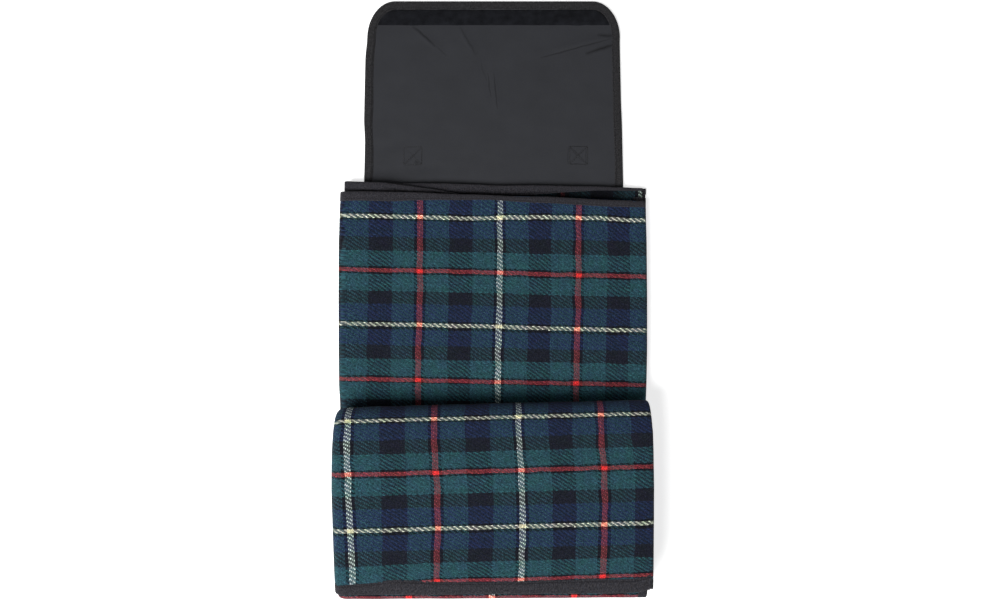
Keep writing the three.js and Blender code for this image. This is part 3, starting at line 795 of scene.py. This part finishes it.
def hem_tape(level, name):
    """Tape folded over the strip's end, through the whole spiral."""
    station = np.concatenate([[0.0], cloth_stations([40, 16, 70, 12, 40, 10, 40]), [7.0]])
    d = np.array([10.4, 10.1, 7.5, 4, 1.3, 0.4, 0.0, 0.0, 0.4, 1.3, 4, 7.5, 10.1, 10.4])
    o = np.array([1.6, 1.95, 2.0, 2.02, 1.95, 1.5, 0.7, -0.7, -1.5, -1.95, -2.02, -2.0, -1.95, -1.6])
    x = spiral(station, FLAT_PITCH)[0]
    is_head = level["hem"] == "head"
    edge = level[level["hem"]](station, x)
    edge = edge + 0.35 * ripple(across(station), 0 * station, 60, 21 if is_head else 22)
    towards = -1 if is_head else 1
    if is_head:
        shown = np.interp(x, [-170, -110, -60, 0, 55, 118, 165], [10.5, 10.8, 7.4, 5.4, 7.3, 7.6, 7.0])
        deep = np.interp(x, [-170, 40, 60, 74, 119, 170], [11.5, 11.5, 9.5, 7.8, 4.6, 3.2])
        width = np.where(station < 5.5, shown, deep)
    else:
        width = np.interp(x, [-162, -130, -115, -99, -78, -57, -25, 7, 60, 112, 155],
                          [11.2, 13.6, 16.2, 17.4, 16.4, 14.6, 13.7, 13.9, 15.4, 16.7, 16.0])
        width = np.where(abs(station - 2.5) < 0.6, width, TAPE_WIDTH)

    def grid(depth, offset):
        depth = depth[:, None]
        depth = np.where(depth < 1.3, depth, 1.3 + (depth - 1.3) * (width - 1.3) / 9.1)
        y = edge[None, :] + towards * depth
        return place(level, station[None, :] + 0 * y, offset[:, None] + 0 * y, y)

    outer = grid(d, o)
    inner = grid(np.where(d < 9.9, d + 0.3, d), o * TAPE_INNER)
    # painted shadow: the lower layers' tapes darkened next to the top layer's hem edge, less towards the
    # right end
    deep = smooth(3.6, 1.2, outer[..., 1] - shown_edge(outer[..., 0])) * (station > 3.9) * is_head
    deep = deep * (1 - 0.7 * smooth(135, 150, outer[..., 0]))
    pattern = (np.broadcast_to(across(station)[None, :], outer.shape[:2]),
               np.broadcast_to((np.sign(o) * d)[:, None], outer.shape[:2]), deep)
    return shell(name, outer, inner, pattern, [HEM_TAPE], sharp=70)


LENGTHS_AND_ROWS = {"flat": (219, 40), "base": (192, 22), "middle": (201, 22), "top": (191, 38)}
for level_name, (length, count) in LENGTHS_AND_ROWS.items():
    level = LEVELS[level_name]
    body = level["body"]
    for which in ("outer", "inner"):
        tape = side_tape(level, which, f"side_tape_{which}_{level_name}", 24)
        settle(tape, body, replaces=[f"side_binding_{which}_{level_name}"])
    if level.get("hem"):
        end = level["hem"]
        tape = hem_tape(level, f"hem_tape_{end}")
        nodes = ["hem_binding_head", "hem_binding_corner"] if end == "head" else ["hem_binding_foot"]
        settle(tape, body, replaces=nodes)
    face = cloth(level, "face", count, FACE_COUNTS, TARTAN, f"tartan_cloth_{level_name}")
    settle(face, body, replaces=[f"tartan_{level_name}"])
    wadding = cloth(level, WADDING, 10, COARSE_COUNTS, WADDING_LOOK, f"wadding_fleece_{level_name}")
    settle(wadding, body, replaces=[f"wadding_{level_name}"])
    backing = cloth(level, BACKING, 14, COARSE_COUNTS, BACKING_FILM, f"backing_sheet_{level_name}")
    settle(backing, body, replaces=[f"backing_{level_name}"])


# ---------------------------------------------------------------- folds between the levels
TURN = LEVELS["turn"]
TURN_ROWS = 30


def turn_piece():
    station = cloth_stations([20, 12, 40, 8, 16, 6, 16])
    y = (TURN_END + (TURN_START - TURN_END) * np.linspace(0, 1, TURN_ROWS))[:, None] + 0 * station
    s = np.broadcast_to(station, y.shape)
    outer = place(TURN, s, face_offset(from_side_edge(s)), y)
    inner = place(TURN, s, BACKING[1], y)
    return shell("tartan_turn", outer, inner, weave(TURN, s, outer), [TARTAN, BACKING_FILM])


turn = settle(turn_piece(), blend=TURN_BLEND)
for which in ("outer", "inner"):
    tape = side_tape(TURN, which, f"side_tape_{which}_turn", TURN_ROWS)
    settle(tape, blend=TURN_BLEND)

FOLDS = {
    "bottom_fold": dict(levels=("base", "middle"), nose=BOTTOM_NOSE, out=-1, centre=bottom_fold_centre,
                        bodies=("bundle", "middle_level"), end="foot"),
    "top_fold": dict(levels=("middle", "top"), nose=TOP_NOSE, out=1, centre=top_fold_centre,
                     bodies=("middle_level", "top_level"), end="head"),
}
FOLD_STEPS = 12
SIDE_REACH = 20.4  # half the height given as the reach of the fold's side pieces


def fold_blend(fold, middle_z, reach_z):
    return *fold["bodies"], (0, 0, middle_z - reach_z), (0, 0, middle_z + reach_z)


def wrapped(fold, station, offset):
    """A grid that carries the end of one level round the fold to the start of the next."""
    first, second = (LEVELS[n] for n in fold["levels"])
    x = spiral(station, BUNDLE_PITCH)[0]
    y = fold["centre"](x)
    a = place(first, station, offset, y)
    b = place(second, station, offset, y)
    turn_angle = np.linspace(0, math.pi, FOLD_STEPS + 1)[:, None]
    share = turn_angle / math.pi
    radius = abs(b[:, 2] - a[:, 2]) / 2
    reach = fold["nose"] * (radius / 18.5) ** (0.5 if fold["end"] == "head" else 0.8)
    points = np.empty((FOLD_STEPS + 1, len(station), 3))
    points[..., 0] = a[:, 0] * (1 - share) + b[:, 0] * share
    bulge = fold["out"] * reach * np.sin(turn_angle) ** 0.85
    points[..., 1] = a[:, 1] * (1 - share) + b[:, 1] * share + bulge
    points[..., 2] = (a[:, 2] + b[:, 2]) / 2 - (b[:, 2] - a[:, 2]) / 2 * np.cos(turn_angle)
    # the nose draws in a little at its two ends
    ends = smooth(150, 172, abs(points[..., 0]))
    points[..., 0] -= np.sign(points[..., 0]) * 1.6 * ends * np.sin(turn_angle)
    uneven = ripple(points[..., 0], points[..., 2] * 2, 60, 31)
    points[..., 1] += fold["out"] * 0.35 * uneven * np.sin(turn_angle) ** 2
    u_a, v_a = weave(first, station, a)
    u_b, v_b = weave(second, station, b)
    along = share - 0.08 * np.sin(2 * math.pi * share)
    if fold["end"] == "head":
        along = share - 0.78 * (1 - share) * share ** 2
    pattern = (u_a * (1 - share) + u_b * share, v_a * (1 - along) + v_b * along)
    return points, pattern


LAYER_RUNS = {"bottom": (0, 1, 34), "top": (2, 3, 56), "second": (4, 5, 20), "third": (6, 7, 20)}
SIDE_RUNS = {"left": (1, 2, 12), "right": (3, 4, 8), "inner": (5, 6, 6)}

for fold_name, fold in FOLDS.items():
    bottom_z, top_z = (float(place(LEVELS[n], np.array([0.5]), 0, np.array([-200.0]))[0, 2])
                       for n in fold["levels"])
    middle_z = (bottom_z + top_z) / 2
    for run_name, (start, stop, count) in {**LAYER_RUNS, **SIDE_RUNS}.items():
        station = np.linspace(start, stop, count + 1)
        if run_name == "bottom":
            station = np.concatenate([EDGE_STEPS / OUTER_RUN, station[station > EDGE_BAND / OUTER_RUN]])
        if run_name == "third":
            inner = station[station < 7 - EDGE_BAND / INNER_RUN]
            station = np.concatenate([inner, (7 - EDGE_STEPS / INNER_RUN)[::-1]])
        outer, pattern = wrapped(fold, station, face_offset(from_side_edge(station)))
        inner, _ = wrapped(fold, station, BACKING[1] + 0 * station)
        piece = shell(f"{fold_name}_{run_name}", outer, inner, pattern, [TARTAN, BACKING_FILM])
        heights = outer[[0, -1], :, 2]
        reach_z = abs(float(heights[1].mean() - heights[0].mean())) / 2
        if run_name in SIDE_RUNS:
            reach_z = SIDE_REACH
        settle(piece, blend=fold_blend(fold, middle_z, reach_z))
    for which in ("outer", "inner"):
        d = np.array([10.2, 9.9, 5, 1.2, 0.35, 0.0, 0.0, 0.35, 1.2, 5, 9.9, 10.2])
        o = np.array([1.62, 1.9, 1.98, 1.9, 1.5, 0.7, -0.7, -1.5, -1.9, -1.98, -1.9, -1.62])
        station, inner_station = edge_stations(which, d)
        outer, _ = wrapped(fold, station, o)
        inner, _ = wrapped(fold, inner_station, o * TAPE_INNER)
        along = np.linspace(0, 50, FOLD_STEPS + 1)[:, None]
        pattern = (along + 0 * d, np.sign(o) * d + 0 * along)
        tape = shell(f"{fold_name}_tape_{which}", outer, inner, pattern, [HEM_TAPE], sharp=70)
        reach_z = abs(float(outer[-1, :, 2].mean() - outer[0, :, 2].mean())) / 2
        settle(tape, blend=fold_blend(fold, middle_z, reach_z))


# ---------------------------------------------------------------- the flap
SEAM_Y, CREASE_Y, SPLIT_Y, FLAP_END_Y = 128.6, 204.9, 166.75, 330.5
TAB_Y = 101.0  # the sewn end
HINGE_Z = 4.4
SEAM_BLEND = ("strip", "flap_spine", (0, SEAM_Y - 4, HINGE_Z), (0, SEAM_Y + 4, HINGE_Z))
CREASE_BLEND = ("flap_spine", "flap_cover", (0, CREASE_Y - 5, HINGE_Z), (0, CREASE_Y + 5, HINGE_Z))
CORNER_X, CORNER_Y = 31.0, 42.0


def flap_half(y, inset=0.0):
    """Half of the flap's width, inside its outline by inset."""
    corner_line = FLAP_END_Y - CORNER_Y
    straight = 145.5 - (np.minimum(y, corner_line) - 121) * 4.5 / 209.5 - inset
    t = np.clip((y - corner_line) / (CORNER_Y - inset), 0, 1)
    return straight - (CORNER_X - inset) * (1 - np.sqrt(np.maximum(1 - t ** 2, 0)))


def flap_sway(x, y):
    """The flap's sides aren't quite straight."""
    left = 1.6 * smooth(170, 200, y) * smooth(290, 265, y)
    right = 0.5 * smooth(190, 220, y) * smooth(300, 280, y)
    return x - left * smooth(100, 142, -x) - right * smooth(100, 142, x)


CREASES = [  # from, to, height, half width: the soft wrinkles of the lining
    ((-88, 303), (-60, 276), 0.5, 4.0), ((-38, 302), (-18, 270), 0.4, 4.0), ((0, 252), (6, 200), 0.3, 4.0),
    ((50, 272), (136, 292), 0.6, 3.5), ((104, 275), (138, 284), 0.5, 3.0),
    ((-140, 148), (-100, 168), 0.35, 5.0), ((-138, 140), (-60, 146), -0.3, 4.0),
]


def crease_height(x, y):
    total = 0.22 * ripple(x, y, 120, 41) + 0.05 * ripple(x, y, 22, 42)
    for (ax, ay), (bx, by), height, width in CREASES:
        dx, dy = bx - ax, by - ay
        t = np.clip(((x - ax) * dx + (y - ay) * dy) / (dx * dx + dy * dy), 0, 1)
        away = np.hypot(x - ax - t * dx, y - ay - t * dy)
        along = np.sin(math.pi * np.clip(t, 0.06, 0.94)) ** 0.6
        total = total + height * along * np.exp(-(away / width) ** 2)
    return total * smooth(1, 12, flap_half(y) - abs(x)) * smooth(1, 10, FLAP_END_Y - y)


def flap_sheet(name, low_y, high_y, floor, top, material, inset, step, crease=0.0):
    y = np.linspace(low_y, high_y, int((high_y - low_y) / step) + 1)
    if high_y > FLAP_END_Y - 5:  # closer rows where the corners turn
        bend = high_y - (CORNER_Y - inset) * (1 - np.sin(np.linspace(0, math.pi / 2, 18)))
        y = np.concatenate([y[y < bend[0] - 1], bend])
    share = np.linspace(-1, 1, int(291 / step) + 1)
    yy = y[:, None] + 0 * share
    x = flap_half(yy, inset) * share
    lift = crease_height(x, yy) * crease
    x = flap_sway(x, yy)
    outer = np.stack([x, yy, top + lift], -1)
    inner = np.stack([x, yy, floor + lift], -1)
    return shell(name, outer, inner, (x, yy), [material])


def flap_outline(low_y):
    """Points and inward directions along the flap's edge, from the left side round to the right."""
    side = np.linspace(low_y, FLAP_END_Y - CORNER_Y, max(int((FLAP_END_Y - CORNER_Y - low_y) / 5), 2))
    angle = np.linspace(0, math.pi / 2, 22)[1:]
    corner_y = FLAP_END_Y - CORNER_Y + CORNER_Y * np.sin(angle)
    corner_x = flap_half(FLAP_END_Y - CORNER_Y) - CORNER_X * (1 - np.cos(angle))
    right_x = np.concatenate([flap_half(side), corner_x])
    right_y = np.concatenate([side, corner_y])
    top_x = np.linspace(corner_x[-1], -corner_x[-1], 46)[1:-1]
    x = np.concatenate([-right_x, -top_x, right_x[::-1]])
    y = np.concatenate([right_y, np.full(len(top_x), FLAP_END_Y), right_y[::-1]])
    dx, dy = np.gradient(x), np.gradient(y)
    size = np.hypot(dx, dy)
    return x, y, dy / size, -dx / size


def flap_tape(name, x, y, inward_x, inward_y):
    """Tape folded over the flap's edge."""
    d = np.array([9.5, 9.2, 6.5, 3.5, 1.2, 0.3, 0.0, 0.0, 0.3, 1.2, 3.5, 6.5, 9.2, 9.5])
    z = np.array([3.8, 4.05, 4.1, 4.12, 4.0, 3.6, 3.0, 2.3, 1.7, 1.35, 1.25, 1.25, 1.27, 1.5])
    along = np.concatenate([[0], np.cumsum(np.hypot(np.diff(x), np.diff(y)))])
    wobble = 0.3 * ripple(along, 0 * along, 50, 51)

    def grid(depth, height):
        px = x + inward_x * depth[:, None]
        py = y + inward_y * depth[:, None]
        # at the turned corners the tape's inner edge is gathered, and it lies in small tucks
        tuck = 0.12 * np.sin(along * 2 * math.pi / 5.5) * smooth(FLAP_END_Y - CORNER_Y, FLAP_END_Y - 12, y)
        lift = (tuck + 0.1 * wobble) * np.where(height[:, None] > 3.7, 1, 0)
        px = flap_sway(px + inward_x * wobble * (depth[:, None] > 5), py)
        return np.stack([px, py, height[:, None] + lift], -1)

    outer = grid(d, z)
    inner = grid(np.where(d < 9, d + 0.28, d), 2.65 + (z - 2.65) * 0.82)
    pattern = (np.broadcast_to(along, outer.shape[:2]),
               np.broadcast_to((np.where(z > 2.65, 1, -1) * d)[:, None], outer.shape[:2]))
    return shell(name, outer, inner, pattern, [FLAP_TAPE_LOOK], sharp=70)


FLAP_LAYERS = {
    "outer": (1.6, 2.0, OUTER, "flap_cloth", 6.0, 0.0),
    "stiffener": (2.2, 3.2, FOAM, "foam", 8.0, 0.3),
    "lining": (3.4, 3.7, LINING, "flap_lining", 2.4, 1.0),
}
for layer_name, (floor, top, material, slot, step, crease) in FLAP_LAYERS.items():
    start = SEAM_Y + 0.3 if layer_name == "stiffener" else TAB_Y
    tab = [] if layer_name == "stiffener" else [f"flap_{layer_name}_tab"]
    near = flap_sheet(f"flap_{layer_name}_near", start, SPLIT_Y, floor, top, material, 0.6, step, crease)
    settle(near, blend=SEAM_BLEND, replaces=[*tab, f"flap_{layer_name}_spine"])
    far = flap_sheet(f"flap_{layer_name}_far", SPLIT_Y, FLAP_END_Y - 0.6, floor, top, material, 0.6,
                     step, crease)
    settle(far, blend=CREASE_BLEND, replaces=[f"flap_{layer_name}_spine", f"flap_{layer_name}_cover"])

edge_x, edge_y, in_x, in_y = flap_outline(SPLIT_Y)
tape = flap_tape("flap_tape_far", edge_x, edge_y, in_x, in_y)
settle(tape, blend=CREASE_BLEND,
       replaces=["flap_binding_cover", "flap_binding_left", "flap_binding_right"])
for side_name, side in (("left", -1), ("right", 1)):
    y = np.linspace(101.5, SPLIT_Y, 16)
    x = side * flap_half(y)
    if side > 0:
        x, y = x[::-1], y[::-1]
    tape = flap_tape(f"flap_tape_{side_name}", x, y, np.full(16, -side) * 1.0, np.full(16, 0.02))
    settle(tape, blend=SEAM_BLEND, replaces=[f"flap_binding_{side_name}"])


def pad_strip(name, half, y_low, y_high, floor, top, material, amount, seed, step=2.5, inset=None):
    """A fuzzy strip with soft, slightly uneven edges."""
    y = np.linspace(y_low, y_high, int((y_high - y_low) / step) + 2)
    share = np.linspace(-1, 1, int(2 * half / step) + 1)
    yy = y[:, None] + 0 * share
    width = (np.minimum(half, flap_half(yy, inset)) if inset is not None else half) + 0 * yy
    x = width * share
    edge = smooth(0, 1.6, np.minimum(np.minimum(yy - y_low, y_high - yy), width - abs(x)))
    uneven = ripple(x, yy, 6, seed) * amount + ripple(x, yy, 25, seed + 1) * amount
    outer = np.stack([x, yy + 0.3 * ripple(x, yy, 30, seed + 2) * (1 - edge),
                      floor + 0.15 + (top - floor - 0.15) * edge + uneven * edge], -1)
    inner = np.stack([x, yy, floor + 0 * x], -1)
    return shell(name, outer, inner, (x, yy), [material], sharp=80)


hooks = pad_strip("hook_tape", 131, 303.5, 320.7, 3.85, 4.85, HOOKS, 0.12, 61, inset=9.6)
settle(hooks, "flap_cover", replaces=["hook_strip"])
loops = pad_strip("loop_tape", 112, -266.1, -244.1, 0.02, 0.8, LOOPS, 0.05, 65)
settle(loops, "bundle", replaces=["loop_strip"])
seam_cover = pad_strip("seam_tape_cover", 146, 94, 108, 0.02, 0.6, HEM_TAPE, 0.02, 69)
settle(seam_cover, "strip", replaces=["flap_seam_tape"])

# ---------------------------------------------------------------- handle and its box stitches
HANDLE_Y, HANDLE_HALF, HANDLE_TOP = 157.5, 10.0, 1.3
STITCH_X, ANCHOR = 93.0, 19.5
GRIP_HALF = 52


def webbing_piece(name, x_from, x_to):
    """A length of webbing with rounded selvedges."""
    x = np.linspace(x_from, x_to, max(int((x_to - x_from) / 4), 4))[:, None]
    side = np.array([-1, -0.97, -0.85, -0.5, 0, 0.5, 0.85, 0.97, 1.0])
    y = HANDLE_Y + HANDLE_HALF * side + 0 * x
    rounding = np.array([0.5, 0.2, 0.05, 0, 0, 0, 0.05, 0.2, 0.5])
    top = HANDLE_TOP - HANDLE_TOP * rounding + 0 * x
    bottom = 0.02 + (HANDLE_TOP - 0.05) * rounding * 0.9 + 0 * x
    xx = x + 0 * y
    outer, inner = np.stack([xx, y, top], -1), np.stack([xx, y, bottom], -1)
    return shell(name, outer, inner, (xx, y), [WEBBING], sharp=70)


inner_x = STITCH_X - ANCHOR / 2
grip = webbing_piece("handle_grip", -GRIP_HALF, GRIP_HALF)
settle(grip, "handle", replaces=["handle_webbing"])
for side_name, side in (("left", -1), ("right", 1)):
    ends = sorted((side * GRIP_HALF, side * (inner_x - 0.3)))
    ramp_piece = webbing_piece(f"handle_ramp_{side_name}", *ends)
    settle(ramp_piece, blend=("flap_spine", "handle", (side * inner_x, HANDLE_Y, 0.6),
                                         (side * GRIP_HALF, HANDLE_Y, 0.6)))
    ends = sorted((side * inner_x, side * (inner_x + ANCHOR)))
    end_piece = webbing_piece(f"handle_end_{side_name}_sewn", *ends)
    settle(end_piece, "flap_spine", replaces=[f"handle_end_{side_name}"])


def stitches(name, lines, length, gap, width, z):
    """Rows of single stitches, each a small spindle of thread pulled into the cloth."""
    points, faces, pattern = [], [], []
    around = np.linspace(0, 2 * math.pi, 7)[:-1]
    stations_along = np.array([-1, -0.75, -0.3, 0.3, 0.75, 1])
    swell = np.array([0.25, 0.8, 1, 1, 0.8, 0.25])
    for (ax, ay), (bx, by) in lines:
        full = math.hypot(bx - ax, by - ay)
        number = max(int(round(full / (length + gap))), 1)
        ux, uy = (bx - ax) / full, (by - ay) / full
        for k in range(number):
            centre = (k + 0.5) / number * full
            base = len(points)
            for t, r in zip(stations_along, swell):
                for angle in around:
                    along = centre + t * length / 2
                    out = math.cos(angle) * width / 2 * r
                    up = math.sin(angle) * width / 2 * r * 0.8 - 0.16 * (1 - r)
                    points.append((ax + ux * along - uy * out, ay + uy * along + ux * out, z + up))
                    pattern.append((along, out, 0))
            for i in range(5):
                for j in range(6):
                    a, b = base + i * 6 + j, base + i * 6 + (j + 1) % 6
                    faces.append((a, b, b + 6, a + 6))
            for i in (0, 5):
                ring = [base + i * 6 + j for j in range(6)]
                for quad in ((ring[0], ring[1], ring[2], ring[3]), (ring[0], ring[3], ring[4], ring[5])):
                    faces.append(quad if i else quad[::-1])
    return write_mesh(name, points, np.array(faces), pattern, [THREAD], sharp=80)


for side_name, side in (("left", -1), ("right", 1)):
    cx, half = side * STITCH_X + 2.2, 10.0
    corners = [(cx - half, HANDLE_Y - half), (cx + half, HANDLE_Y - half), (cx + half, HANDLE_Y + half),
               (cx - half, HANDLE_Y + half)]
    lines = [(corners[k], corners[(k + 1) % 4]) for k in range(4)]
    lines += [(corners[0], corners[2]), (corners[1], corners[3])]
    stitch = stitches(f"box_stitches_{side_name}", lines, 2.2, 0.5, 0.62, 3.82)
    settle(stitch, "flap_spine", replaces=[f"box_stitch_{side_name}"])

# ---------------------------------------------------------------- floor, light and camera
def stage_floor():
    mesh = bpy.data.meshes.new("floor")
    corners_m = [(x, y, -0.0008) for x, y in ((-4, -4), (4, -4), (4, 4), (-4, 4))]
    mesh.from_pydata(corners_m, [], [(0, 1, 2, 3)])
    material = bpy.data.materials.new("floor_pale")
    material.use_nodes = True
    surface = material.node_tree.nodes["Principled BSDF"]
    surface.inputs["Base Color"].default_value = (0.93, 0.93, 0.93, 1)
    surface.inputs["Roughness"].default_value = 1.0
    surface.inputs["Specular IOR Level"].default_value = 0.0
    surface.inputs["Emission Color"].default_value = (1, 1, 1, 1)
    surface.inputs["Emission Strength"].default_value = 0.62
    mesh.materials.append(material)
    floor = bpy.data.objects.new("floor", mesh)
    bpy.context.scene.collection.objects.link(floor)


def area_light(name, place_m, size, power):
    lamp = bpy.data.lights.new(name, "AREA")
    lamp.shape, lamp.size, lamp.energy = "DISK", size, power
    obj = bpy.data.objects.new(name, lamp)
    obj.location = place_m
    direction = -np.array(place_m)
    obj.rotation_mode = "QUATERNION"
    obj.rotation_quaternion = Vector(direction).to_track_quat("-Z", "Y")
    bpy.context.scene.collection.objects.link(obj)


stage_floor()
area_light("key", (-1.45, -1.35, 2.3), 1.9, 112)
area_light("fill", (0.7, -0.7, 2.8), 2.2, 12)

scene = bpy.context.scene
world = bpy.data.worlds.new("studio")
world.use_nodes = True
world.node_tree.nodes["Background"].inputs["Color"].default_value = (1, 1, 1, 1)
world.node_tree.nodes["Background"].inputs["Strength"].default_value = 0.11
scene.world = world
scene.view_settings.view_transform = "Standard"

lens = bpy.data.cameras.new("camera")
lens.sensor_width, lens.lens = 36, 33.1
lens.clip_start, lens.clip_end = 0.01, 20
camera = bpy.data.objects.new("camera", lens)
camera.location = (0.0015, -0.0045, 1.024)
scene.collection.objects.link(camera)
scene.camera = camera
